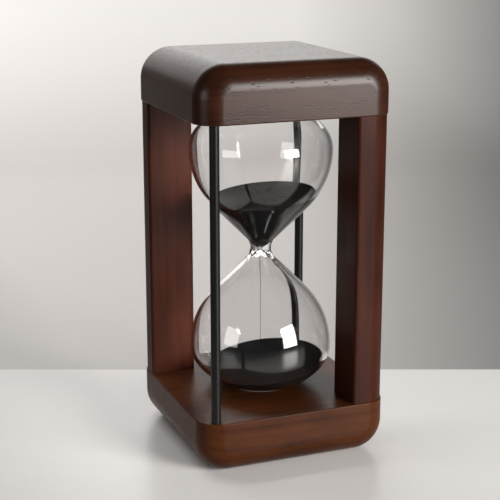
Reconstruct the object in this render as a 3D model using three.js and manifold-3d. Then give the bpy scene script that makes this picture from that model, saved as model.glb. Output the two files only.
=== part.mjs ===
// Hourglass: a blown glass with black sand, held between two stained walnut blocks.
// Two walnut posts and two black steel rods, each pair in opposite corners, join the blocks.
// Millimetres, +Z up, origin at the middle of the base's underside. Seen from the front,
// +X is to the right and +Y to the back.

import * as THREE from 'three';
import { mergeVertices } from 'three/addons/utils/BufferGeometryUtils.js';
import Module from 'manifold-3d';

const wasm = await Module();
wasm.setup();

// ---- Driving sizes ----

// The frame's overall size, and its two blocks
const frameWidth = 110;
const frameDepth = 110;
const frameHeight = 220;
const blockThickness = 30;
const blockCornerRadius = 17.5; // where a block's sides turn into its outer face
const blockEdgeRadius = 13; // along the front and back of a block

// The posts, one wide across X and one wide across Y
const postWide = 26;
const postThin = 21;
const postInset = 0.6; // from a block's side to the post's outer face
const postArrisRadius = 1.5; // on the three corners that don't follow the block's corner

// The glued dowels, two in each end of a post
const dowelDiameter = 8;
const dowelSpacing = 11;
const dowelInPost = 16;
const dowelFloor = 13; // wood left between a dowel hole and the block's outer face
const dowelGap = 0.3; // round a dowel, for glue
const dowelEndGap = 1; // past each end of a dowel
const dowelChamfer = 0.8;

// The rods, held in blind sockets in the other two corners
const rodDiameter = 5.2;
const rodGap = 0.3; // round a rod in its socket
const rodEndGap = 0.5;
const rodEdgeMargin = 1; // from a rod to the block's rounded corner
const rodCornerAngle = THREE.MathUtils.degToRad(65); // from the X axis, round that corner
const rodChamfer = 0.5;

// The glass: two bulbs and a waist, blown in one piece
const glassPostGap = 3.8; // from a bulb to the nearest corner of a post
const glassWall = 1.8;
const coneAngle = THREE.MathUtils.degToRad(45); // between the axis and the cones at the waist
const coneOffset = 2.5; // radius where an outer cone would cross the middle plane
const waistFilletRadius = 8;
const orificeRadius = 0.9;
const endRise = 24.7; // from a bulb's widest place to its flat end
const endFlatRadius = 9;
const fillHoleRadius = 4;

// The seats in the blocks that hold the glass, and the plug in its fill hole
const seatDepth = 3.2;
const seatGap = 1.5; // between the glass and the seat's rim
const padThickness = 1.5;
const padGap = 0.3; // round a pad in its seat
const plugGap = 0.3;
const plugLength = 5;
const plugChamfer = 0.5;

// The sand, tilted in both bulbs as after a knock
const sandGap = 0.3; // between the sand and the glass
const upperSandLevel = 30; // surface above the glass's middle, on the axis
const upperSandTilt = THREE.MathUtils.degToRad(5);
const lowerSandDepth = 11.9; // surface above the lower bulb's inner floor, on the axis
const lowerSandTilt = THREE.MathUtils.degToRad(6.5);
const streamRadius = 0.4;

// Facets
const cornerSteps = 4; // an arc of an outline has twice as many sides
const edgeSteps = 6;
const turnedSides = 40;
const rodSides = 20;
const smallSides = 16;
const streamSides = 8;
const waistSteps = 3;
const shoulderSteps = 6;
const endSteps = 8;
const cutMargin = 2; // how far a cutting body runs past the face that it cuts

// ---- Sizes worked out from them ----

const middleZ = frameHeight / 2;
const baseFaceZ = blockThickness;
const topFaceZ = frameHeight - blockThickness;

const posts = [
  { name: 'rear_left_post', xSide: -1, ySide: 1, sizeX: postWide, sizeY: postThin },
  { name: 'front_right_post', xSide: 1, ySide: -1, sizeX: postThin, sizeY: postWide },
];
for (const post of posts) {
  post.outerX = post.xSide * (frameWidth / 2 - postInset);
  post.outerY = post.ySide * (frameDepth / 2 - postInset);
  post.innerX = post.outerX - post.xSide * post.sizeX;
  post.innerY = post.outerY - post.ySide * post.sizeY;
}

// A rod stands inside the block's rounded corner, which is centred one radius in.
const rodRadius = rodDiameter / 2;
const rodFromCorner = blockEdgeRadius - rodEdgeMargin - rodRadius;
const rodX = frameWidth / 2 - blockEdgeRadius + rodFromCorner * Math.cos(rodCornerAngle);
const rodY = frameDepth / 2 - blockEdgeRadius + rodFromCorner * Math.sin(rodCornerAngle);
const rodSocketDepth = blockThickness - Math.max(blockCornerRadius, blockEdgeRadius);
const rods = [
  { name: 'front_left_rod', x: -rodX, y: -rodY },
  { name: 'rear_right_rod', x: rodX, y: rodY },
];

// The bulbs are as wide as the posts allow and as tall as their seats allow.
const nearestCorner = Math.min(...posts.map((post) => Math.hypot(post.innerX, post.innerY)));
const bulbRadius = nearestCorner - glassPostGap;
const glassSink = seatDepth - padThickness; // how far the glass goes into a block
const glassHalfHeight = middleZ - blockThickness + glassSink;
const bulbHeight = glassHalfHeight - endRise; // of the widest place above the middle
const endSemiAxis = endRise / Math.sqrt(1 - (endFlatRadius / bulbRadius) ** 2);

// The shoulder is the arc that touches both the cone and the bulb's widest circle.
const coneSlope = Math.tan(coneAngle);
const coneSecant = 1 / Math.cos(coneAngle);
const shoulderRadius = (coneOffset + bulbHeight * coneSlope - bulbRadius) / (coneSecant - 1);
const shoulderCentre = bulbRadius - shoulderRadius;

const mouthHeight = glassHalfHeight - glassSink - bulbHeight;
const mouthRadius = bulbRadius * Math.sqrt(1 - (mouthHeight / endSemiAxis) ** 2);
const seatRadius = mouthRadius + seatGap;

// ---- Geometry helpers ----

// A closed geometry as a solid that can be joined and cut.
function solidFrom(geometry) {
  const bare = geometry.clone();
  bare.deleteAttribute('normal');
  bare.deleteAttribute('uv');
  const merged = mergeVertices(bare, 1e-4);
  const triVerts = [];
  for (let i = 0; i < merged.index.count; i += 3) {
    const [a, b, c] = [0, 1, 2].map((corner) => merged.index.getX(i + corner));
    if (a !== b && b !== c && c !== a) {
      triVerts.push(a, b, c);
    }
  }
  return new wasm.Manifold(new wasm.Mesh({
    numProp: 3,
    vertProperties: new Float32Array(merged.attributes.position.array),
    triVerts: new Uint32Array(triVerts),
  }));
}

// The geometry of a body with others cut out of it.
function cut(body, tools) {
  let solid = solidFrom(body);
  for (const tool of tools) {
    solid = solid.subtract(solidFrom(tool));
  }
  const mesh = solid.getMesh();
  const geometry = new THREE.BufferGeometry();
  geometry.setAttribute('position', new THREE.BufferAttribute(mesh.vertProperties, 3));
  geometry.setIndex(new THREE.BufferAttribute(mesh.triVerts, 1));
  geometry.computeVertexNormals();
  return geometry;
}

// A body turned about the Z axis, from [radius, height] points that go up its outside.
function turned(outline, sides) {
  const points = outline.map(([radius, height]) => new THREE.Vector2(radius, height));
  return new THREE.LatheGeometry(points, sides).rotateX(Math.PI / 2);
}

// A round bar along Z with chamfered ends.
function roundBar(radius, low, high, chamfer, sides) {
  const outline = [
    [0, low],
    [radius - chamfer, low],
    [radius, low + chamfer],
    [radius, high - chamfer],
    [radius - chamfer, high],
    [0, high],
  ];
  return turned(outline, sides);
}

// A plain round bar at a place, used as a drill.
function drill(x, y, radius, low, high, sides) {
  const outline = [[0, low], [radius, low], [radius, high], [0, high]];
  return turned(outline, sides).translate(x, y, 0);
}

// A rectangle with its own radius at each corner: low left, low right, high right, high left.
function roundedRectangle(left, low, right, high, radii) {
  const corners = [
    { x: left, y: low, inX: 1, inY: 1 },
    { x: right, y: low, inX: -1, inY: 1 },
    { x: right, y: high, inX: -1, inY: -1 },
    { x: left, y: high, inX: 1, inY: -1 },
  ];
  const shape = new THREE.Shape();
  corners.forEach((corner, index) => {
    const radius = radii[index];
    const start = Math.PI + index * Math.PI / 2;
    if (radius > 0) {
      const centreX = corner.x + corner.inX * radius;
      const centreY = corner.y + corner.inY * radius;
      shape.absarc(centreX, centreY, radius, start, start + Math.PI / 2);
    } else {
      shape.lineTo(corner.x, corner.y);
    }
  });
  return shape;
}

// ---- Frame ----

function dowelPlaces(post) {
  const middleX = (post.outerX + post.innerX) / 2;
  const middleY = (post.outerY + post.innerY) / 2;
  const alongX = post.sizeX > post.sizeY;
  return [-1, 1].map((side) => ({
    x: middleX + (alongX ? side * dowelSpacing / 2 : 0),
    y: middleY + (alongX ? 0 : side * dowelSpacing / 2),
  }));
}

// The base block, solid: its outline seen from the front is rounded at the two lower corners,
// and its front and back edges are rounded over. The part above its inner face is cut off.
function plainBlock() {
  const inset = blockEdgeRadius;
  const corner = blockCornerRadius - blockEdgeRadius;
  const outline = roundedRectangle(
    -frameWidth / 2 + inset, inset,
    frameWidth / 2 - inset, blockThickness + cutMargin,
    [corner, corner, 0, 0],
  );
  const body = new THREE.ExtrudeGeometry(outline, {
    depth: frameDepth - 2 * inset,
    curveSegments: cornerSteps,
    bevelThickness: inset,
    bevelSize: inset,
    bevelSegments: edgeSteps,
  });
  body.rotateX(Math.PI / 2);
  body.translate(0, frameDepth / 2 - inset, 0);
  const waste = new THREE.BoxGeometry(2 * frameWidth, 2 * frameDepth, 2 * blockThickness);
  waste.translate(0, 0, 2 * blockThickness);
  return cut(body, [waste]);
}

// The base block and the top block differ only in which way up they are, and in which
// corners are drilled: face is the inner face's height and into points into the wood.
function block(body, face, into) {
  const span = (depth) => [face - into * cutMargin, face + into * depth].sort((a, b) => a - b);
  const dowelHoleDepth = blockThickness - dowelFloor;
  const cuts = [drill(0, 0, seatRadius, ...span(seatDepth), turnedSides)];
  for (const post of posts) {
    for (const { x, y } of dowelPlaces(post)) {
      cuts.push(drill(x, y, dowelDiameter / 2 + dowelGap, ...span(dowelHoleDepth), smallSides));
    }
  }
  for (const { x, y } of rods) {
    cuts.push(drill(x, y, rodRadius + rodGap, ...span(rodSocketDepth), rodSides));
  }
  return cut(body, cuts);
}

const baseBlock = block(plainBlock(), baseFaceZ, -1);
const topBody = plainBlock().rotateY(Math.PI).translate(0, 0, frameHeight);
const topBlock = block(topBody, topFaceZ, 1);

// A post between the blocks, with its outer corner concentric with theirs.
function postGeometry(post) {
  const outerRadius = blockEdgeRadius - postInset;
  const sides = [[-1, -1], [1, -1], [1, 1], [-1, 1]];
  const radii = sides.map(([xSide, ySide]) => {
    const outer = xSide === post.xSide && ySide === post.ySide;
    return outer ? outerRadius : postArrisRadius;
  });
  const section = roundedRectangle(
    Math.min(post.outerX, post.innerX), Math.min(post.outerY, post.innerY),
    Math.max(post.outerX, post.innerX), Math.max(post.outerY, post.innerY),
    radii,
  );
  const body = new THREE.ExtrudeGeometry(section, {
    depth: topFaceZ - baseFaceZ,
    curveSegments: cornerSteps,
    bevelEnabled: false,
  });
  body.translate(0, 0, baseFaceZ);
  const radius = dowelDiameter / 2 + dowelGap;
  const depth = dowelInPost + dowelEndGap;
  const holes = dowelPlaces(post).flatMap(({ x, y }) => [
    drill(x, y, radius, baseFaceZ - cutMargin, baseFaceZ + depth, smallSides),
    drill(x, y, radius, topFaceZ - depth, topFaceZ + cutMargin, smallSides),
  ]);
  return cut(body, holes);
}

// A dowel across the joint between a block and a post.
function dowelGeometry(face, intoPost) {
  const inBlock = blockThickness - dowelFloor - dowelEndGap;
  const ends = [face + intoPost * dowelInPost, face - intoPost * inBlock];
  const low = Math.min(...ends);
  const high = Math.max(...ends);
  return roundBar(dowelDiameter / 2, low, high, dowelChamfer, smallSides);
}

const rodGeometry = roundBar(
  rodRadius,
  baseFaceZ - rodSocketDepth + rodEndGap,
  topFaceZ + rodSocketDepth - rodEndGap,
  rodChamfer,
  rodSides,
);

// ---- Glass ----

// One bulb above the glass's middle, as [radius, height] points from its cone to its flat
// end, set in from the outer surface.
function bulbOutline(inset) {
  const points = [];
  for (let i = 0; i <= shoulderSteps; i++) {
    const angle = coneAngle * (i / shoulderSteps - 1);
    const radius = shoulderRadius - inset;
    points.push([shoulderCentre + radius * Math.cos(angle), bulbHeight + radius * Math.sin(angle)]);
  }
  const radius = bulbRadius - inset;
  const semiAxis = endSemiAxis - inset;
  const endAngle = Math.asin((endRise - inset) / semiAxis);
  for (let i = 1; i <= endSteps; i++) {
    const angle = endAngle * i / endSteps;
    points.push([radius * Math.cos(angle), bulbHeight + semiAxis * Math.sin(angle)]);
  }
  return points;
}

// The radius at which a cone set in from the outer surface would cross the middle plane.
function coneRadiusAtMiddle(inset) {
  return coneOffset - inset * coneSecant;
}

const below = (points) => points.map(([radius, height]) => [radius, -height]);

function glassGeometry() {
  const waistCentre = coneOffset + waistFilletRadius * coneSecant;
  const waist = [];
  for (let i = 0; i <= waistSteps; i++) {
    const angle = coneAngle * i / waistSteps;
    const radius = waistCentre - waistFilletRadius * Math.cos(angle);
    waist.push([radius, waistFilletRadius * Math.sin(angle)]);
  }
  const outside = [...waist, ...bulbOutline(0)];
  const throatHalf = (orificeRadius - coneRadiusAtMiddle(glassWall)) / coneSlope;
  const inside = [[orificeRadius, throatHalf], ...bulbOutline(glassWall)];
  return turned([
    [0, -glassHalfHeight],
    ...below(outside).reverse(),
    ...outside.slice(1),
    [fillHoleRadius, glassHalfHeight],
    [fillHoleRadius, glassHalfHeight - glassWall],
    ...inside.toReversed(),
    ...below(inside),
    [0, -glassHalfHeight + glassWall],
  ], turnedSides);
}

const plugGeometry = roundBar(
  fillHoleRadius - plugGap,
  glassHalfHeight - plugLength,
  glassHalfHeight - plugGap,
  plugChamfer,
  smallSides,
);

// ---- Sand ----

// Both bulbs' space for sand is the glass's inside less a gap, with a tip at the throat.
const sandInset = glassWall + sandGap;
const sandTip = -coneRadiusAtMiddle(sandInset) / coneSlope;
const sandEnd = glassHalfHeight - sandInset;
const lowerSandLevel = -glassHalfHeight + glassWall + lowerSandDepth;

// Fills a bulb up to a plane through the axis at a level, tilted up towards +X.
function sandGeometry(fill, level, tilt) {
  const size = 4 * glassHalfHeight;
  const air = new THREE.BoxGeometry(size, size, size);
  air.translate(0, 0, size / 2);
  air.rotateY(-tilt);
  air.translate(0, 0, level);
  return cut(turned(fill, turnedSides), [air]);
}

const sandBulb = [[0, sandTip], ...bulbOutline(sandInset), [0, sandEnd]];
const upperSand = sandGeometry(sandBulb, upperSandLevel, upperSandTilt);
const lowerSand = sandGeometry(below(sandBulb).reverse(), lowerSandLevel, lowerSandTilt);
const streamLow = lowerSandLevel + sandGap;
const streamHigh = sandTip - sandGap;
const streamGeometry = drill(0, 0, streamRadius, streamLow, streamHigh, streamSides);

// ---- Materials ----

const material = (color, roughness, metalness = 0) => (
  new THREE.MeshStandardMaterial({ color, roughness, metalness })
);
const walnut = () => material(0x4a2f27, 0.45);
const beech = () => material(0xc9a97c, 0.7);
const blackSteel = () => material(0x17171a, 0.35, 0.6);
const clearGlass = () => new THREE.MeshStandardMaterial({
  color: 0xdcd6d8, roughness: 0.05, metalness: 0, transparent: true, opacity: 0.35,
});
const blackSand = () => material(0x141414, 0.85);
const blackFelt = () => material(0x232323, 0.95);
const greyRubber = () => material(0x3c3c3e, 0.7);

// ---- Assembly ----

function mesh(name, geometry, finish) {
  const result = new THREE.Mesh(geometry, finish);
  result.name = name;
  return result;
}

const hourglass = new THREE.Group();
hourglass.add(mesh('base_block', baseBlock, walnut()));
hourglass.add(mesh('top_block', topBlock, walnut()));

for (const post of posts) {
  hourglass.add(mesh(post.name, postGeometry(post), walnut()));
  const ends = [
    { name: 'lower', geometry: dowelGeometry(baseFaceZ, 1) },
    { name: 'upper', geometry: dowelGeometry(topFaceZ, -1) },
  ];
  for (const end of ends) {
    dowelPlaces(post).forEach(({ x, y }, index) => {
      const place = post.name.replace('_post', '');
      const name = `${place}_${end.name}_dowel_${index + 1}`;
      const dowel = mesh(name, end.geometry, beech());
      dowel.position.set(x, y, 0);
      hourglass.add(dowel);
    });
  }
}

for (const { name, x, y } of rods) {
  const rod = mesh(name, rodGeometry, blackSteel());
  rod.position.set(x, y, 0);
  hourglass.add(rod);
}

const padGeometry = drill(0, 0, seatRadius - padGap, 0, padThickness, turnedSides);
const padHeights = {
  lower_seat_pad: baseFaceZ - seatDepth,
  upper_seat_pad: topFaceZ + seatDepth - padThickness,
};
for (const [name, height] of Object.entries(padHeights)) {
  const pad = mesh(name, padGeometry, blackFelt());
  pad.position.z = height;
  hourglass.add(pad);
}

// The glass and what is in it are made about the waist.
const glassware = new THREE.Group();
glassware.position.z = middleZ;
glassware.add(mesh('glass_vessel', glassGeometry(), clearGlass()));
glassware.add(mesh('filler_plug', plugGeometry, greyRubber()));
glassware.add(mesh('upper_sand', upperSand, blackSand()));
glassware.add(mesh('lower_sand', lowerSand, blackSand()));
glassware.add(mesh('sand_stream', streamGeometry, blackSand()));
hourglass.add(glassware);

export default hourglass;
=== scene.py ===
# An hourglass: one blown glass with black sand, in a frame of stained walnut blocks and posts
# with two black steel rods. Metres, +Z up, +X to the right and +Y to the back.

import math
import random

import bmesh
import bpy
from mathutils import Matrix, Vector, noise


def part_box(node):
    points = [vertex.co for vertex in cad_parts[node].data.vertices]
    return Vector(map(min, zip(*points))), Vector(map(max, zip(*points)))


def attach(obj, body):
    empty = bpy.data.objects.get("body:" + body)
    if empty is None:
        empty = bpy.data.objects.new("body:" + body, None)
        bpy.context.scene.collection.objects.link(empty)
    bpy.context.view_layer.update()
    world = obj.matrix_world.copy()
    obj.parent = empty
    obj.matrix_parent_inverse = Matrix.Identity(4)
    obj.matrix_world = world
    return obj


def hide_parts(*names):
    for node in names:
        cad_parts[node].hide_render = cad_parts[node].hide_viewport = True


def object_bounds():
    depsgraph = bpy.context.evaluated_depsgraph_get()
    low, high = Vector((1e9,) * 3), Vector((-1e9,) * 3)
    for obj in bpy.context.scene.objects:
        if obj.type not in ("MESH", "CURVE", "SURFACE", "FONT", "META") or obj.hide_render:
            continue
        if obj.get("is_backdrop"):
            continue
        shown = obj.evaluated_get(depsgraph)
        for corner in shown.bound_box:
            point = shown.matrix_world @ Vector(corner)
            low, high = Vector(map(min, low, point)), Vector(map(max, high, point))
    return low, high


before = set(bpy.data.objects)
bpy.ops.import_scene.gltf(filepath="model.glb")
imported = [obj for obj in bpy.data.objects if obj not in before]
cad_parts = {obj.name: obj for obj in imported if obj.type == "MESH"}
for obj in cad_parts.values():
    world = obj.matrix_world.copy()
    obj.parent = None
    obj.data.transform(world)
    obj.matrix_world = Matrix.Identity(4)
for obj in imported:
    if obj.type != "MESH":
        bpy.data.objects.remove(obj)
cad_low, cad_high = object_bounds()


# ---- Base block ----
# A walnut block, rounded over underneath and at its front and back, stained dark red-brown and
# lacquered satin. Its inner face has a round seat for the glass and two sockets for the rods.

MM = 0.001
CLOSE = 0.001 * MM  # two places nearer than this are the same
BLOCK_CORNER_RADIUS = 17.5 * MM
BLOCK_EDGE_RADIUS = 13 * MM
BLOCK_ARRIS = 0.8 * MM
SEAT_DEPTH = 3.2 * MM
SEAT_GAP = 0.3 * MM  # round the felt pad
SOCKET_DEPTH = 12.5 * MM
SOCKET_GAP = 0.12 * MM  # round a rod


def same(a, b):
    return abs(a - b) < CLOSE


def add_box(name, low, high):
    """A box between two corners, left active in edit mode."""
    bpy.ops.object.select_all(action="DESELECT")
    bpy.ops.mesh.primitive_cube_add(size=1, location=(low + high) / 2)
    piece = bpy.context.object
    piece.name = name
    piece.scale = high - low
    bpy.ops.object.transform_apply(location=True, rotation=True, scale=True)
    bpy.ops.object.mode_set(mode="EDIT")
    return piece


def pick_edges(test):
    """Selects only the edges whose two ends pass the test."""
    bpy.ops.mesh.select_mode(type="EDGE")
    bpy.ops.mesh.select_all(action="DESELECT")
    mesh = bpy.context.object.data
    cage = bmesh.from_edit_mesh(mesh)
    for edge in cage.edges:
        if test(edge.verts[0].co, edge.verts[1].co):
            edge.select_set(True)
    cage.select_flush_mode()
    bmesh.update_edit_mesh(mesh)


def round_edges(radius, segments):
    bpy.ops.mesh.bevel(offset=radius, segments=segments, affect="EDGES")


def make_active(piece):
    bpy.ops.object.select_all(action="DESELECT")
    piece.select_set(True)
    bpy.context.view_layer.objects.active = piece


def smooth(piece, angle=30):
    """Shades curved faces smooth, keeping flat ones flat and edges sharper than the angle crisp."""
    make_active(piece)
    bpy.ops.object.shade_smooth_by_angle(angle=math.radians(angle))
    bpy.ops.object.modifier_add(type="WEIGHTED_NORMAL")
    piece.modifiers[-1].keep_sharp = True
    bpy.ops.object.modifier_apply(modifier=piece.modifiers[-1].name)


def drill(piece, x, y, radius, face, depth, segments):
    """Cuts a round hole along Z from just outside a face to a depth, which is signed."""
    outside = -depth / 10
    middle = Vector((x, y, face + (depth + outside) / 2))
    bpy.ops.object.select_all(action="DESELECT")
    bpy.ops.mesh.primitive_cylinder_add(
        vertices=segments, radius=radius, depth=abs(depth - outside), location=middle)
    cutter = bpy.context.object
    make_active(piece)
    bpy.ops.object.modifier_add(type="BOOLEAN")
    piece.modifiers[-1].operation = "DIFFERENCE"
    piece.modifiers[-1].object = cutter
    bpy.ops.object.modifier_apply(modifier=piece.modifiers[-1].name)
    bpy.data.objects.remove(cutter)


def place(piece, material, slot, *nodes):
    """Gives a finished piece its material, rides it on the object and lets it stand for nodes."""
    piece.data.name = piece.name
    piece.data.materials.clear()
    piece.data.materials.append(material)
    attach(piece, "root")
    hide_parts(*nodes)


def node(tree, kind, inputs=None, **settings):
    """A shader node with its settings, and a value or an output for each input given."""
    made = tree.nodes.new(kind)
    for key, value in settings.items():
        setattr(made, key, value)
    for key, value in (inputs or {}).items():
        if isinstance(value, bpy.types.NodeSocket):
            tree.links.new(value, made.inputs[key])
        else:
            made.inputs[key].default_value = value
    return made


def maths(tree, operation, *values):
    return node(tree, "ShaderNodeMath", dict(enumerate(values)), operation=operation).outputs[0]


def mix_colours(tree, share, first, second):
    return node(tree, "ShaderNodeMix", {0: share, 6: first, 7: second}, data_type="RGBA").outputs[2]


def remap(tree, value, low, high, to_low=0.0, to_high=1.0):
    """Spreads a value between two limits over two others, and holds it there beyond them."""
    limits = {"From Min": low, "From Max": high, "To Min": to_low, "To Max": to_high}
    return node(tree, "ShaderNodeMapRange", {"Value": value, **limits}).outputs[0]


def new_group(name, inputs, outputs):
    """A node group with its sockets, as (tree, its inputs, its output node)."""
    tree = bpy.data.node_groups.new(name, "ShaderNodeTree")
    for label, kind, value in inputs:
        socket = tree.interface.new_socket(label, in_out="INPUT", socket_type=f"NodeSocket{kind}")
        socket.default_value = value
    for label, kind in outputs:
        tree.interface.new_socket(label, in_out="OUTPUT", socket_type=f"NodeSocket{kind}")
    given = tree.nodes.new("NodeGroupInput").outputs
    return tree, given, tree.nodes.new("NodeGroupOutput")


def new_material(name, **settings):
    """A material, as (material, tree, its shader), with plain values set on the shader."""
    material = bpy.data.materials.new(name)
    material.use_nodes = True
    tree = material.node_tree
    shader = tree.nodes["Principled BSDF"]
    for key, value in settings.items():
        shader.inputs[key.replace("_", " ")].default_value = value
    return material, tree, shader


def object_position(tree):
    return tree.nodes.new("ShaderNodeTexCoord").outputs["Object"]


def emboss(tree, shader, height, relief, strength=1.0):
    """Lets a pattern stand up from the surface by up to the given relief."""
    bump = node(tree, "ShaderNodeBump", {"Height": height, "Distance": relief, "Strength": strength})
    tree.links.new(bump.outputs[0], shader.inputs["Normal"])


# Wood in the solid, with its grain along X: growth rings round a pith outside the piece, soft
# bands, fine fibres, and open pores that are dashes along the grain and dots across it. Each
# pattern has its repeats in a metre, along and across the grain.
RING_BEND_REPEATS = (5, 22)
RING_BEND = 20 * MM
BAND_REPEATS = (9, 130)
BLOTCH_REPEATS = (28, 60)
FIBRE_REPEATS = (60, 1900)
PORE_REPEATS = (230, 760)
PORE_COLOUR = (0.006, 0.004, 0.003, 1)
PORE_STRENGTH = 0.55
LATE_WOOD = 0.3  # how much a ring darkens towards its end
FIBRE_ROUGHNESS = 0.08
PORE_ROUGHNESS = 0.25
FIBRE_HEIGHT = 0.06  # next to a pore's depth

wood_grain, given, result = new_group(
    "wood_grain",
    [("Position", "Vector", (0, 0, 0)), ("Pith", "Vector", (0, 0.09, -0.12)),
     ("Light", "Color", (0.1, 0.05, 0.03, 1)), ("Dark", "Color", (0.03, 0.015, 0.01, 1)),
     ("Ring Width", "Float", 0.004), ("Pores", "Float", 1.0),
     ("Base Roughness", "Float", 0.35)],
    [("Color", "Color"), ("Roughness", "Float"), ("Height", "Float")])


def stretched(tree, position, along, across):
    """Positions scaled by one number along the grain and another across it."""
    return node(tree, "ShaderNodeVectorMath", {0: position, 1: (along, across, across)},
                operation="MULTIPLY").outputs[0]


def noise_at(tree, position, detail, roughness=0.5):
    inputs = {"Vector": position, "Scale": 1.0, "Detail": detail, "Roughness": roughness}
    return node(tree, "ShaderNodeTexNoise", inputs)


position = given["Position"]
bend = noise_at(wood_grain, stretched(wood_grain, position, *RING_BEND_REPEATS), 2.0).outputs["Color"]
bent = node(wood_grain, "ShaderNodeVectorMath", {0: bend, 1: (0.5, 0.5, 0.5)},
            operation="SUBTRACT").outputs[0]
bent = node(wood_grain, "ShaderNodeVectorMath", {0: bent, 1: (0, RING_BEND, RING_BEND), 2: position},
            operation="MULTIPLY_ADD").outputs[0]
from_pith = node(wood_grain, "ShaderNodeVectorMath", {0: bent, 1: given["Pith"]},
                 operation="SUBTRACT").outputs[0]
across = stretched(wood_grain, from_pith, 0, 1)
radius = node(wood_grain, "ShaderNodeVectorMath", {0: across}, operation="LENGTH").outputs["Value"]
ring = maths(wood_grain, "FRACT", maths(wood_grain, "DIVIDE", radius, given["Ring Width"]))
late = maths(wood_grain, "POWER", ring, 2.5)
bands = noise_at(wood_grain, stretched(wood_grain, position, *BAND_REPEATS), 3.0).outputs[0]
fibres = noise_at(wood_grain, stretched(wood_grain, position, *FIBRE_REPEATS), 2.0, 0.7).outputs[0]
blotches = noise_at(wood_grain, stretched(wood_grain, position, *BLOTCH_REPEATS), 2.0).outputs[0]
pore_cells = node(wood_grain, "ShaderNodeTexVoronoi",
                  {"Vector": stretched(wood_grain, bent, *PORE_REPEATS), "Scale": 1.0})
pore = remap(wood_grain, pore_cells.outputs["Distance"], 0.16, 0.32, 1.0, 0.0)
pore_share = maths(wood_grain, "MULTIPLY", remap(wood_grain, bands, 0.35, 0.55), given["Pores"])
pore = maths(wood_grain, "MULTIPLY", pore, pore_share)
tone = maths(wood_grain, "MULTIPLY_ADD", late, LATE_WOOD, remap(wood_grain, bands, 0.3, 0.7, 0.0, 0.5))
tone = maths(wood_grain, "ADD", tone, remap(wood_grain, fibres, 0.3, 0.7, -0.12, 0.12))
tone = maths(wood_grain, "ADD", tone, remap(wood_grain, blotches, 0.35, 0.65, -0.2, 0.2))
colour = mix_colours(wood_grain, tone, given["Light"], given["Dark"])
pore_dark = maths(wood_grain, "MULTIPLY", pore, PORE_STRENGTH)
colour = mix_colours(wood_grain, pore_dark, colour, PORE_COLOUR)
wood_grain.links.new(colour, result.inputs["Color"])
rough = maths(wood_grain, "MULTIPLY_ADD", fibres, FIBRE_ROUGHNESS, given["Base Roughness"])
rough = maths(wood_grain, "MULTIPLY_ADD", pore, PORE_ROUGHNESS, rough)
wood_grain.links.new(rough, result.inputs["Roughness"])
fibre_height = maths(wood_grain, "MULTIPLY", fibres, FIBRE_HEIGHT)
wood_grain.links.new(maths(wood_grain, "MULTIPLY_ADD", pore, -1.0, fibre_height), result.inputs["Height"])

WALNUT = (0.033, 0.0105, 0.0046, 1)
WALNUT_WARM = (0.058, 0.0165, 0.0044, 1)
WALNUT_RED = (0.038, 0.0100, 0.0054, 1)
WALNUT_DARK = (0.013, 0.0040, 0.0022, 1)
WALNUT_ROUGHNESS = 0.26
WALNUT_RING_WIDTH = 4 * MM
WALNUT_PORE_DEPTH = 0.04 * MM


def wood(name, turn, pith, light, dark, pores, pore_depth, ring_width, roughness, shine):
    """Wood whose grain runs along X turned by the given angles."""
    material, tree, shader = new_material(name, Specular_IOR_Level=shine)
    turned_position = node(tree, "ShaderNodeMapping",
                           {"Vector": object_position(tree), "Rotation": turn}).outputs[0]
    grain = node(tree, "ShaderNodeGroup", {
        "Position": turned_position, "Pith": pith, "Light": light, "Dark": dark, "Pores": pores,
        "Ring Width": ring_width, "Base Roughness": roughness}, node_tree=wood_grain)
    tree.links.new(grain.outputs["Color"], shader.inputs["Base Color"])
    tree.links.new(grain.outputs["Roughness"], shader.inputs["Roughness"])
    emboss(tree, shader, grain.outputs["Height"], pore_depth)
    return material


def walnut(name, turn, pith, light, pores, shine):
    return wood(name, turn, pith, light, WALNUT_DARK, pores, WALNUT_PORE_DEPTH,
                WALNUT_RING_WIDTH, WALNUT_ROUGHNESS, shine)


def make_block(name, outward):
    """A block whose rounded face looks down, with outward -1, or up, with outward 1."""
    low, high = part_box(name)
    outer, inner = (high.z, low.z) if outward > 0 else (low.z, high.z)
    block = add_box(name + "_walnut", low, high)
    pick_edges(lambda a, b: same(a.z, outer) and same(b.z, outer) and same(a.x, b.x))
    round_edges(BLOCK_CORNER_RADIUS, 24)

    def round_the_front(a, b):
        on_face = same(a.y, b.y) and (same(a.y, low.y) or same(a.y, high.y))
        return on_face and not (same(a.z, inner) and same(b.z, inner))

    pick_edges(round_the_front)
    round_edges(BLOCK_EDGE_RADIUS, 18)
    pick_edges(lambda a, b: same(a.z, inner) and same(b.z, inner))
    round_edges(BLOCK_ARRIS, 4)
    bpy.ops.object.mode_set(mode="OBJECT")
    pad_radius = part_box("lower_seat_pad")[1].x
    drill(block, 0, 0, pad_radius + SEAT_GAP, inner, outward * SEAT_DEPTH, 128)
    for rod in ("front_left_rod", "rear_right_rod"):
        rod_low, rod_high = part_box(rod)
        middle = (rod_low + rod_high) / 2
        radius = (rod_high.x - rod_low.x) / 2 + SOCKET_GAP
        drill(block, middle.x, middle.y, radius, inner, outward * SOCKET_DEPTH, 48)
    smooth(block)
    return block


base_block = make_block("base_block", -1)
base_walnut = walnut("base_walnut", turn=(0, 0, 0), pith=(0, 0.06, -0.10), light=WALNUT_WARM,
                     pores=0.4, shine=0.08)
place(base_block, base_walnut, "walnut", "base_block")


# ---- Top block ----
# The same walnut block the other way up, sawn from another plank with more open pores. Its seat
# and its sockets are in its underside.

top_block = make_block("top_block", 1)
top_walnut = walnut("top_walnut", turn=(0.2, 0, 0), pith=(0, -0.08, 0.05), light=WALNUT,
                    pores=0.8, shine=0.2)
place(top_block, top_walnut, "walnut", "top_block")


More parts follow.
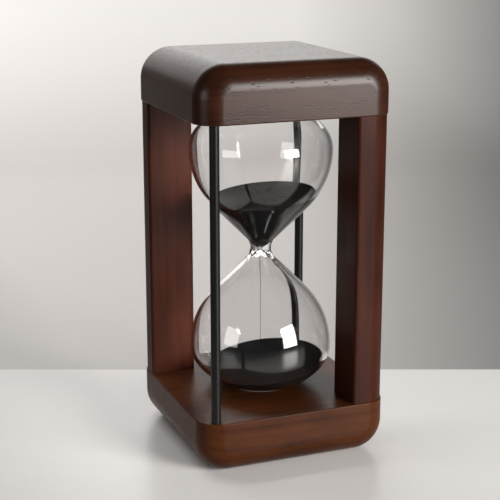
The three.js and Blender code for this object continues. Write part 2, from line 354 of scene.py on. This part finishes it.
# ---- Posts ----
# Two walnut posts with upright grain, each dowelled and glued between the blocks in one corner.
# The outer corner follows the blocks' rounded corner and the other three are only eased.

POST_OUTER_RADIUS = 12.4 * MM
POST_ARRIS = 1.5 * MM
POST_END_ARRIS = 0.25 * MM
UPRIGHT = (0, math.radians(90), 0)


def make_post(name):
    low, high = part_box(name)
    post = add_box(name + "_walnut", low, high)
    middle = (low + high) / 2

    def outer_corner(a, b):
        upright = same(a.x, b.x) and same(a.y, b.y)
        return upright and a.x * middle.x > middle.x ** 2 and a.y * middle.y > middle.y ** 2

    def other_corner(a, b):
        upright = same(a.x, b.x) and same(a.y, b.y)
        at_side = same(a.x, low.x) or same(a.x, high.x)
        return upright and at_side and (same(a.y, low.y) or same(a.y, high.y))

    pick_edges(outer_corner)
    round_edges(POST_OUTER_RADIUS, 20)
    pick_edges(other_corner)
    round_edges(POST_ARRIS, 5)
    pick_edges(lambda a, b: same(a.z, b.z))
    round_edges(POST_END_ARRIS, 2)
    bpy.ops.object.mode_set(mode="OBJECT")
    smooth(post)
    return post


for name, pith in (("rear_left_post", (0.05, 0.07, 0.0)), ("front_right_post", (0.1, -0.12, 0.02))):
    material = walnut(name + "_walnut", UPRIGHT, pith, WALNUT_RED, pores=0.4, shine=0.06)
    place(make_post(name), material, "walnut", name)


# ---- Dowels ----
# Plain beech dowels, two in each end of a post, glued half into the post and half into the
# block. They are hidden there, so they keep their CAD meshes and only get their wood here.

BEECH_LIGHT = (0.55, 0.36, 0.2, 1)
BEECH_DARK = (0.42, 0.26, 0.13, 1)

beech = wood("beech", UPRIGHT, pith=(0.02, 0.03, 0.0), light=BEECH_LIGHT, dark=BEECH_DARK,
             pores=0.3, pore_depth=0.03 * MM, ring_width=2.5 * MM, roughness=0.45, shine=0.5)
for name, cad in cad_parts.items():
    if "_dowel_" in name:
        for slot in cad.material_slots:
            slot.material = beech


# ---- Rods ----
# Straight round steel bar with chamfered ends, powder-coated satin black and set in the blocks'
# sockets. The coat has a very fine orange peel.

ROD_CHAMFER = 0.5 * MM
COAT_BLACK = (0.005, 0.005, 0.0046, 1)
PEEL_SCALE = 1400
PEEL_RELIEF = 0.02 * MM


def turned(name, outline, steps):
    """A piece turned about the Z axis from (radius, height) points that go up its outside."""
    bpy.ops.object.select_all(action="DESELECT")
    bpy.ops.mesh.primitive_plane_add(size=1)
    piece = bpy.context.object
    piece.name = name
    bpy.ops.object.mode_set(mode="EDIT")
    bpy.ops.mesh.select_mode(type="VERT")
    bpy.ops.mesh.select_all(action="SELECT")
    bpy.ops.mesh.merge(type="CENTER")
    corners = [Vector((radius, 0, height)) for radius, height in outline]
    bpy.ops.transform.translate(value=corners[0])
    for start, end in zip(corners, corners[1:]):
        bpy.ops.mesh.extrude_region_move(TRANSFORM_OT_translate={"value": end - start})
    bpy.ops.mesh.select_all(action="SELECT")
    bpy.ops.mesh.spin(steps=steps, angle=math.tau, center=(0, 0, 0), axis=(0, 0, 1))
    bpy.ops.mesh.select_all(action="SELECT")
    bpy.ops.mesh.remove_doubles(threshold=CLOSE)
    bpy.ops.mesh.normals_make_consistent(inside=False)
    bpy.ops.object.mode_set(mode="OBJECT")
    return piece


black_coat, tree, shader = new_material(
    "black_powder_coat", Base_Color=COAT_BLACK, Specular_IOR_Level=0.2)
peel = node(tree, "ShaderNodeTexNoise",
            {"Vector": object_position(tree), "Scale": PEEL_SCALE, "Detail": 2.0})
emboss(tree, shader, peel.outputs[0], PEEL_RELIEF, 0.6)
tree.links.new(remap(tree, peel.outputs[0], 0.3, 0.7, 0.26, 0.36), shader.inputs["Roughness"])

for name in ("front_left_rod", "rear_right_rod"):
    low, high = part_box(name)
    radius = (high.x - low.x) / 2
    middle = (low + high) / 2
    rod = turned(name + "_steel", [
        (0, low.z), (radius - ROD_CHAMFER, low.z), (radius, low.z + ROD_CHAMFER),
        (radius, high.z - ROD_CHAMFER), (radius - ROD_CHAMFER, high.z), (0, high.z)], 64)
    rod.location = (middle.x, middle.y, 0)
    make_active(rod)
    bpy.ops.object.transform_apply(location=True)
    smooth(rod)
    place(rod, black_coat, "black_steel", name)


# ---- Glass ----
# Clear glass blown in one piece: two bulbs, a solid waist with a fine throat, flat ends, and a
# hole in the upper end where the sand went in. Its surface ripples slightly, as blown glass does.

glass_low, glass_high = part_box("glass_vessel")
WAIST_HEIGHT = (glass_low.z + glass_high.z) / 2
BULB_RADIUS = glass_high.x
HALF_HEIGHT = glass_high.z - WAIST_HEIGHT
WALL = 1.8 * MM
THROAT_RADIUS = 0.9 * MM
END_RISE = 24.7 * MM
END_FLAT_RADIUS = 9 * MM
FILL_HOLE_RADIUS = 4 * MM
CONE_ANGLE = math.radians(45)
CONE_OFFSET = 2.5 * MM  # radius at which the outer cones, carried on, would meet at the waist
WAIST_FILLET = 8 * MM
WAIST_STEPS = 20
CONE_STEPS = 16
SHOULDER_STEPS = 24
END_STEPS = 28
WAIST_WAVES = 0.45 * MM  # how far the hand-worked waist strays from round
WAIST_WAVE_REPEATS = 420  # in a metre
WAIST_REACH = 13 * MM  # how far above and below the middle the waves die out
CLEAR = (0.985, 0.978, 0.982, 1)
GLASS_SHADE = (0.93, 0.93, 0.93, 1)  # what each surface lets through into a shadow
RIPPLE_SCALE = 38
RIPPLE_RELIEF = 0.12 * MM

BULB_HEIGHT = HALF_HEIGHT - END_RISE
END_SEMI_AXIS = END_RISE / math.sqrt(1 - (END_FLAT_RADIUS / BULB_RADIUS) ** 2)
CONE_SLOPE = math.tan(CONE_ANGLE)
CONE_SECANT = 1 / math.cos(CONE_ANGLE)
SHOULDER_RADIUS = (CONE_OFFSET + BULB_HEIGHT * CONE_SLOPE - BULB_RADIUS) / (CONE_SECANT - 1)


def bulb_outline(inset):
    """The upper bulb above the waist, from its cone to its flat end, set in from the outside."""
    points = []
    radius = SHOULDER_RADIUS - inset
    for step in range(SHOULDER_STEPS + 1):
        angle = CONE_ANGLE * (step / SHOULDER_STEPS - 1)
        points.append((BULB_RADIUS - SHOULDER_RADIUS + radius * math.cos(angle),
                       BULB_HEIGHT + radius * math.sin(angle)))
    end_angle = math.asin((END_RISE - inset) / (END_SEMI_AXIS - inset))
    for step in range(1, END_STEPS + 1):
        angle = end_angle * step / END_STEPS
        points.append(((BULB_RADIUS - inset) * math.cos(angle),
                       BULB_HEIGHT + (END_SEMI_AXIS - inset) * math.sin(angle)))
    return points


def cone_radius_at_waist(inset):
    return CONE_OFFSET - inset * CONE_SECANT


def cone_points(inset, low):
    """The straight cone from a height up to where the shoulder starts."""
    end_radius, high = bulb_outline(inset)[0]
    start_radius = cone_radius_at_waist(inset) + low * CONE_SLOPE
    shares = [step / CONE_STEPS for step in range(CONE_STEPS)]
    return [(start_radius + (end_radius - start_radius) * share, low + (high - low) * share)
            for share in shares]


def below(points):
    return [(radius, -height) for radius, height in points]


def at_waist(points):
    return [(radius, WAIST_HEIGHT + height) for radius, height in points]


waist = []
for step in range(WAIST_STEPS + 1):
    angle = CONE_ANGLE * step / WAIST_STEPS
    waist.append((CONE_OFFSET + WAIST_FILLET * (CONE_SECANT - math.cos(angle)),
                  WAIST_FILLET * math.sin(angle)))
outside = waist[:-1] + cone_points(0, waist[-1][1]) + bulb_outline(0)
throat_half = (THROAT_RADIUS - cone_radius_at_waist(WALL)) / CONE_SLOPE
inside = cone_points(WALL, throat_half) + bulb_outline(WALL)
glass_outline = (
    [(0, -HALF_HEIGHT)] + below(outside)[::-1] + outside[1:]
    + [(FILL_HOLE_RADIUS, HALF_HEIGHT), (FILL_HOLE_RADIUS, HALF_HEIGHT - WALL)]
    + inside[::-1] + below(inside) + [(0, -HALF_HEIGHT + WALL)])
glass_vessel = turned("glass_vessel_blown", at_waist(glass_outline), 144)

# The hand-worked waist is a little out of round, inside and out, except in the throat.
for corner in glass_vessel.data.vertices:
    height = (corner.co.z - WAIST_HEIGHT) / WAIST_REACH
    radius = math.hypot(corner.co.x, corner.co.y)
    if abs(height) < 1 and radius > THROAT_RADIUS * 1.5:
        wave = noise.noise(corner.co * WAIST_WAVE_REPEATS) * WAIST_WAVES * (1 - height ** 2) ** 2
        corner.co.x += wave * corner.co.x / radius
        corner.co.y += wave * corner.co.y / radius
smooth(glass_vessel, 50)

clear_glass, tree, shader = new_material(
    "clear_glass", Base_Color=CLEAR, Roughness=0.0, IOR=1.47, Transmission_Weight=1.0)
ripple = node(tree, "ShaderNodeTexNoise",
              {"Vector": object_position(tree), "Scale": RIPPLE_SCALE, "Detail": 1.0})
emboss(tree, shader, ripple.outputs[0], RIPPLE_RELIEF)
see_through = node(tree, "ShaderNodeBsdfTransparent", {"Color": GLASS_SHADE})
shadow_ray = tree.nodes.new("ShaderNodeLightPath").outputs["Is Shadow Ray"]
surface = node(tree, "ShaderNodeMixShader", {0: shadow_ray, 1: shader.outputs[0],
                                             2: see_through.outputs[0]})
tree.links.new(surface.outputs[0], tree.nodes["Material Output"].inputs["Surface"])
place(glass_vessel, clear_glass, "glass", "glass_vessel")


# ---- Filler plug ----
# A grey rubber plug, slightly tapered, pressed into the fill hole after the sand went in. It is
# out of sight under the top block.

PLUG_ROUNDING = 0.5 * MM
RUBBER_DARK = (0.04, 0.04, 0.042, 1)
RUBBER_LIGHT = (0.075, 0.075, 0.077, 1)
BLOOM_SCALE = 500

low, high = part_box("filler_plug")
radius = high.x
plug = turned("filler_plug_rubber", [
    (0, low.z), (radius - PLUG_ROUNDING * 2, low.z), (radius - PLUG_ROUNDING, low.z + PLUG_ROUNDING),
    (radius, high.z - PLUG_ROUNDING), (radius - PLUG_ROUNDING, high.z), (0, high.z)], 48)
smooth(plug)
rubber, tree, shader = new_material("grey_rubber")
bloom = node(tree, "ShaderNodeTexNoise",
             {"Vector": object_position(tree), "Scale": BLOOM_SCALE, "Detail": 4.0})
tree.links.new(mix_colours(tree, bloom.outputs[0], RUBBER_DARK, RUBBER_LIGHT),
               shader.inputs["Base Color"])
tree.links.new(remap(tree, bloom.outputs[0], 0.3, 0.7, 0.6, 0.8), shader.inputs["Roughness"])
place(plug, rubber, "rubber", "filler_plug")


# ---- Seat pads ----
# Two discs of black felt, each glued to the floor of a block's seat. They grip the flat ends of
# the glass.

PAD_ROUNDING = 0.4 * MM
FELT_DARK = (0.012, 0.012, 0.012, 1)
FELT_LIGHT = (0.035, 0.035, 0.036, 1)
FUZZ_SCALE = 2500
FUZZ_RELIEF = 0.25 * MM

felt, tree, shader = new_material("black_felt", Roughness=0.95, Sheen_Weight=0.4, Sheen_Roughness=0.5)
fuzz = node(tree, "ShaderNodeTexNoise", {
    "Vector": object_position(tree), "Scale": FUZZ_SCALE, "Detail": 5.0, "Roughness": 0.7})
tree.links.new(mix_colours(tree, fuzz.outputs[0], FELT_DARK, FELT_LIGHT), shader.inputs["Base Color"])
emboss(tree, shader, fuzz.outputs[0], FUZZ_RELIEF)

for name in ("lower_seat_pad", "upper_seat_pad"):
    low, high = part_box(name)
    radius = high.x
    pad = turned(name + "_felt", [
        (0, low.z), (radius - PAD_ROUNDING, low.z), (radius, low.z + PAD_ROUNDING),
        (radius, high.z - PAD_ROUNDING), (radius - PAD_ROUNDING, high.z), (0, high.z)], 96)
    smooth(pad, 50)
    place(pad, felt, "felt", name)


# ---- Sand ----
# Very fine black sand. What is left above has sunk in the middle, and what lies below has a low
# mound under the stream. Both surfaces lie a little tilted, higher on the right.

SAND_CONTACT = 0.05 * MM  # sunk into the glass, so that no air shows between them
SAND_INSET = WALL - SAND_CONTACT
UPPER_LEVEL = 30 * MM  # above the waist's middle
UPPER_TILT = math.radians(5)
LOWER_SAND_DEPTH = 11.9 * MM
LOWER_TILT = math.radians(6.5)
SAND_TIP = 1.6 * MM  # above the middle, where the stream breaks away
SAND_RINGS = 16
SURFACE_BAND = 0.02 * MM  # corners of the cut surface lie within this of its plane
SURFACE_WAVES = 0.5 * MM
SURFACE_WAVE_REPEATS = 70  # in a metre
SAND_DARK = (0.002, 0.002, 0.002, 1)
SAND_LIGHT = (0.009, 0.0086, 0.0084, 1)
GRAIN_SCALE = 3200
GRAIN_RELIEF = 0.12 * MM
DRIFT_SCALE = 160
DRIFT_SHARE = 0.4  # of the sand's tone, and the rest comes from its single grains

black_sand, tree, shader = new_material("black_sand", Specular_IOR_Level=0.05)
position = object_position(tree)
cells = node(tree, "ShaderNodeTexVoronoi", {"Vector": position, "Scale": GRAIN_SCALE})
drift = node(tree, "ShaderNodeTexNoise", {"Vector": position, "Scale": DRIFT_SCALE, "Detail": 3.0})
grain_tone = node(tree, "ShaderNodeSeparateColor", {0: cells.outputs["Color"]}).outputs[0]
grain_share = maths(tree, "MULTIPLY", grain_tone, 1 - DRIFT_SHARE)
tone = maths(tree, "MULTIPLY_ADD", drift.outputs[0], DRIFT_SHARE, grain_share)
tree.links.new(mix_colours(tree, tone, SAND_DARK, SAND_LIGHT), shader.inputs["Base Color"])
tree.links.new(remap(tree, grain_tone, 0.0, 1.0, 0.7, 1.0), shader.inputs["Roughness"])
emboss(tree, shader, cells.outputs["Distance"], GRAIN_RELIEF, 0.8)


def pour(name, outline, level, tilt, dish):
    """Sand that fills a turned outline up to a tilted plane, its surface sunk or heaped in rings."""
    sand = turned(name, at_waist(outline), 144)
    make_active(sand)
    bpy.ops.object.mode_set(mode="EDIT")
    bpy.ops.mesh.select_all(action="SELECT")
    up = Vector((-math.sin(tilt), 0, math.cos(tilt)))
    middle = Vector((0, 0, WAIST_HEIGHT + level))
    bpy.ops.mesh.bisect(plane_co=middle, plane_no=up, use_fill=True, clear_outer=True)
    bpy.ops.mesh.select_mode(type="FACE")
    bpy.ops.mesh.select_all(action="DESELECT")
    mesh = sand.data
    cage = bmesh.from_edit_mesh(mesh)
    cage.faces.ensure_lookup_table()
    top = max(cage.faces, key=lambda face: len(face.verts))
    top.select_set(True)
    edge_radius = min((corner.co - middle).length for corner in top.verts)
    bmesh.update_edit_mesh(mesh)
    for ring in range(SAND_RINGS, 1, -1):
        shrink = (ring - 1) / ring
        bpy.ops.mesh.extrude_region_move()
        bpy.ops.transform.resize(value=(shrink, shrink, shrink), center_override=middle)
    bpy.ops.mesh.poke()
    bpy.ops.mesh.select_all(action="DESELECT")
    cage = bmesh.from_edit_mesh(mesh)
    for corner in cage.verts:
        offset = corner.co - middle
        if abs(offset.dot(up)) < SURFACE_BAND:
            share = min(1, offset.length / edge_radius)
            wave = noise.noise(corner.co * SURFACE_WAVE_REPEATS) * SURFACE_WAVES
            corner.co.z += dish(share) + wave * (1 - share ** 6)
    bmesh.update_edit_mesh(mesh)
    bpy.ops.mesh.select_all(action="SELECT")
    bpy.ops.mesh.normals_make_consistent(inside=False)
    bpy.ops.object.mode_set(mode="OBJECT")
    smooth(sand, 50)
    return sand


def sunk(share):
    """How far the upper sand's surface has sunk, at a share of the way from its middle out."""
    return -1.6 * MM * (1 - share) ** 2 - 0.6 * MM * (1 - share)


def heaped(share):
    """How high the lower sand's mound stands, at a share of the way from its middle out."""
    return 1.2 * MM * math.exp(-(share / 0.25) ** 2)


bulb_fill = (
    [(0, SAND_TIP)] + cone_points(SAND_INSET, SAND_TIP) + bulb_outline(SAND_INSET)
    + [(0, HALF_HEIGHT - SAND_INSET)])
upper_sand = pour("upper_sand_poured", bulb_fill, UPPER_LEVEL, UPPER_TILT, sunk)
place(upper_sand, black_sand, "sand", "upper_sand")
lower_level = LOWER_SAND_DEPTH + WALL - HALF_HEIGHT
lower_sand = pour("lower_sand_poured", below(bulb_fill)[::-1], lower_level, LOWER_TILT, heaped)
place(lower_sand, black_sand, "sand", "lower_sand")


# ---- Falling sand ----
# Separate grains of the same black sand, falling from the throat to the mound. They leave in a
# close file, and draw apart and spread a little as they speed up.

GRAIN_RADIUS = 0.16 * MM
SMALLEST_GRAIN = 0.7  # of that radius
GRAIN_COUNT = 520
STREAM_RADIUS = 0.28 * MM  # at its foot
STREAM_NECK = 0.35  # of that radius, in the throat
SPEEDING_UP = 1.6
TUMBLE = 3  # radians

stream_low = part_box("sand_stream")[0]
random.seed(11)
bpy.ops.object.select_all(action="DESELECT")
grains = []
stream_top = WAIST_HEIGHT + SAND_TIP
fall = stream_top - stream_low.z
for index in range(GRAIN_COUNT):
    share = (index + random.random()) / GRAIN_COUNT
    drop = fall * share ** SPEEDING_UP
    spread = STREAM_RADIUS * (STREAM_NECK + (1 - STREAM_NECK) * share)
    angle = random.random() * math.tau
    reach = spread * random.random()
    spot = (reach * math.cos(angle), reach * math.sin(angle),
            stream_top - GRAIN_RADIUS - drop * (1 - 2 * GRAIN_RADIUS / fall))
    size = GRAIN_RADIUS * (SMALLEST_GRAIN + (1 - SMALLEST_GRAIN) * random.random())
    tumbled = (random.random() * TUMBLE, random.random() * TUMBLE, 0)
    bpy.ops.mesh.primitive_ico_sphere_add(
        subdivisions=1, radius=size, location=spot, rotation=tumbled)
    grains.append(bpy.context.object)
for grain in grains:
    grain.select_set(True)
bpy.context.view_layer.objects.active = grains[0]
bpy.ops.object.join()
stream = bpy.context.object
stream.name = "falling_sand_grains"
bpy.ops.object.transform_apply(location=True, rotation=True, scale=True)
place(stream, black_sand, "sand", "sand_stream")


# ---- Camera ----
# A long lens, to the left of the front and a little above the top of the hourglass. It aims near
# the waist.

CAMERA_AZIMUTH = math.radians(-21.77)
CAMERA_ELEVATION = math.radians(14.9)
CAMERA_DISTANCE = 0.7517
AIM = Vector((-0.0055, 0.0022, 0.1083))
LENS = 95.86
SENSOR_WIDTH = 36

outward = Vector((math.sin(CAMERA_AZIMUTH) * math.cos(CAMERA_ELEVATION),
                  -math.cos(CAMERA_AZIMUTH) * math.cos(CAMERA_ELEVATION),
                  math.sin(CAMERA_ELEVATION)))
bpy.ops.object.camera_add(location=AIM + outward * CAMERA_DISTANCE)
camera = bpy.context.object
camera.rotation_euler = (-outward).to_track_quat("-Z", "Y").to_euler()
camera.data.lens = LENS
camera.data.sensor_width = SENSOR_WIDTH
bpy.context.scene.camera = camera


# ---- Studio ----
# A pale table in front of a wall, painted on one floor that sweeps up all round, together with painted
# light and shade.
# Two soft windows light it from the sides in front, a long light stands behind, and a fourth washes the
# wall.

FLOOR_RADIUS = 0.8
SWEEP_RADIUS = 0.5
SWEEP_STEPS = 12
WALL_HEIGHT = 1.4
TABLE_DEPTH = 0.101  # from the hourglass's middle back to the table's far edge
EYE_DISTANCE = 0.736  # about the level distance from the camera to the hourglass's middle
# Painted light and shade: the table is paler near the camera than far off, the wall paler high up, and
# WALL_SHADE and UNLIT are painted shade.
TABLE_NEAR = (0.68, 0.66, 0.645, 1)
TABLE_FAR = (0.55, 0.535, 0.522, 1)
WALL_LOW = (0.33, 0.309, 0.294, 1)
WALL_MIDDLE = (0.42, 0.402, 0.386, 1)
WALL_HIGH = (0.9, 0.875, 0.85, 1)
WALL_SHADE = (0.01, 0.01, 0.01, 1)
UNLIT = (0.02, 0.02, 0.02, 1)
WALL_LIGHT_AIM = Vector((-0.25, 1.15, 0.12))
AIR_COLOUR = (0.86, 0.85, 0.84, 1)
AIR_LIGHT = 0.03  # a faint even light from everywhere

sweep = [(0, 0), (FLOOR_RADIUS, 0)]
for step in range(1, SWEEP_STEPS + 1):
    angle = math.pi / 2 * step / SWEEP_STEPS
    sweep.append((FLOOR_RADIUS + SWEEP_RADIUS * math.sin(angle),
                  SWEEP_RADIUS * (1 - math.cos(angle))))
sweep.append((FLOOR_RADIUS + SWEEP_RADIUS, WALL_HEIGHT))
studio_floor = turned("studio_floor", sweep, 96)
make_active(studio_floor)
bpy.ops.object.mode_set(mode="EDIT")
bpy.ops.mesh.select_all(action="SELECT")
bpy.ops.mesh.flip_normals()
bpy.ops.object.mode_set(mode="OBJECT")
bpy.ops.object.shade_smooth()

paint, tree, shader = new_material("studio_paint", Roughness=0.3)
position = object_position(tree)
right, back, up = node(tree, "ShaderNodeSeparateXYZ", {0: position}).outputs


def distance_along(direction):
    return node(tree, "ShaderNodeVectorMath", {0: position, 1: direction},
                operation="DOT_PRODUCT").outputs["Value"]


# Painted light and shade: the table is painted paler towards the camera, and the wall paler further back
# and upwards, with painted shade darkening it to the right of the view. Painted shade also darkens both
# beyond the view, on the far right, on the left and in front.
depth = distance_along((-math.sin(CAMERA_AZIMUTH), math.cos(CAMERA_AZIMUTH), 0))
aside = distance_along((math.cos(CAMERA_AZIMUTH), math.sin(CAMERA_AZIMUTH), 0))
across_view = maths(tree, "DIVIDE", aside, maths(tree, "ADD", depth, EYE_DISTANCE))
table_colour = mix_colours(tree, remap(tree, depth, -0.06, 0.1), TABLE_NEAR, TABLE_FAR)
wall_colour = mix_colours(tree, remap(tree, depth, 0.2, 0.7), WALL_LOW, WALL_MIDDLE)
wall_colour = mix_colours(tree, remap(tree, up, 0.0, 0.25), wall_colour, WALL_HIGH)
shade = remap(tree, across_view, 0.03, 0.19, 0.0, 0.62)
wall_colour = mix_colours(tree, shade, wall_colour, WALL_SHADE)
beyond_table = remap(tree, depth, TABLE_DEPTH - MM, TABLE_DEPTH + MM)
paint_colour = mix_colours(tree, beyond_table, table_colour, wall_colour)
# Painted shade: the paint is darkened towards UNLIT beyond the view, where the wood reflects it.
for direction, start, end, share in ((right, 0.6, 1.0, 0.8), (right, -0.06, -0.3, 0.9),
                                     (back, -0.12, -0.6, 0.88)):
    painted_dark = remap(tree, direction, start, end, 0.0, share)
    paint_colour = mix_colours(tree, painted_dark, paint_colour, UNLIT)
tree.links.new(paint_colour, shader.inputs["Base Color"])
studio_floor.data.materials.append(paint)
studio_floor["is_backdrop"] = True

object_middle = (cad_low + cad_high) / 2


def add_light(name, azimuth, elevation, distance, size, power, colour=(1, 1, 1)):
    """A soft light that faces the object. Azimuth 0 is in front of it, and 90 on its right."""
    around, above = math.radians(azimuth), math.radians(elevation)
    outward = Vector((math.sin(around) * math.cos(above), -math.cos(around) * math.cos(above),
                      math.sin(above)))
    bpy.ops.object.light_add(type="AREA", location=object_middle + outward * distance)
    light = bpy.context.object
    light.name = name
    light.rotation_euler = outward.to_track_quat("Z", "Y").to_euler()
    light.data.shape = "RECTANGLE"
    light.data.size, light.data.size_y = size
    light.data.energy = power
    light.data.color = colour
    return light


add_light("right_window", azimuth=28, elevation=13, distance=1.0, size=(0.42, 0.46), power=18,
          colour=(1, 0.985, 0.96))
add_light("left_window", azimuth=-72, elevation=12, distance=1.0, size=(0.44, 0.42), power=2.4,
          colour=(1, 0.99, 0.97))
add_light("back_light", azimuth=165, elevation=20, distance=1.1, size=(1.6, 0.4), power=2,
          colour=(1, 0.99, 0.98))
wall_light = add_light("wall_light", azimuth=215, elevation=60, distance=1.0, size=(0.9, 0.3), power=13.5)
towards_wall = WALL_LIGHT_AIM - wall_light.location
wall_light.rotation_euler = towards_wall.to_track_quat("-Z", "Y").to_euler()
wall_light.visible_glossy = False
wall_light.visible_transmission = False

world = bpy.data.worlds.new("studio_air")
bpy.context.scene.world = world
world.use_nodes = True
air = world.node_tree.nodes["Background"]
air.inputs["Color"].default_value = AIR_COLOUR
air.inputs["Strength"].default_value = AIR_LIGHT
bpy.context.scene.view_settings.view_transform = "Standard"


# The second has to lie inside the first.

low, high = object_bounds()
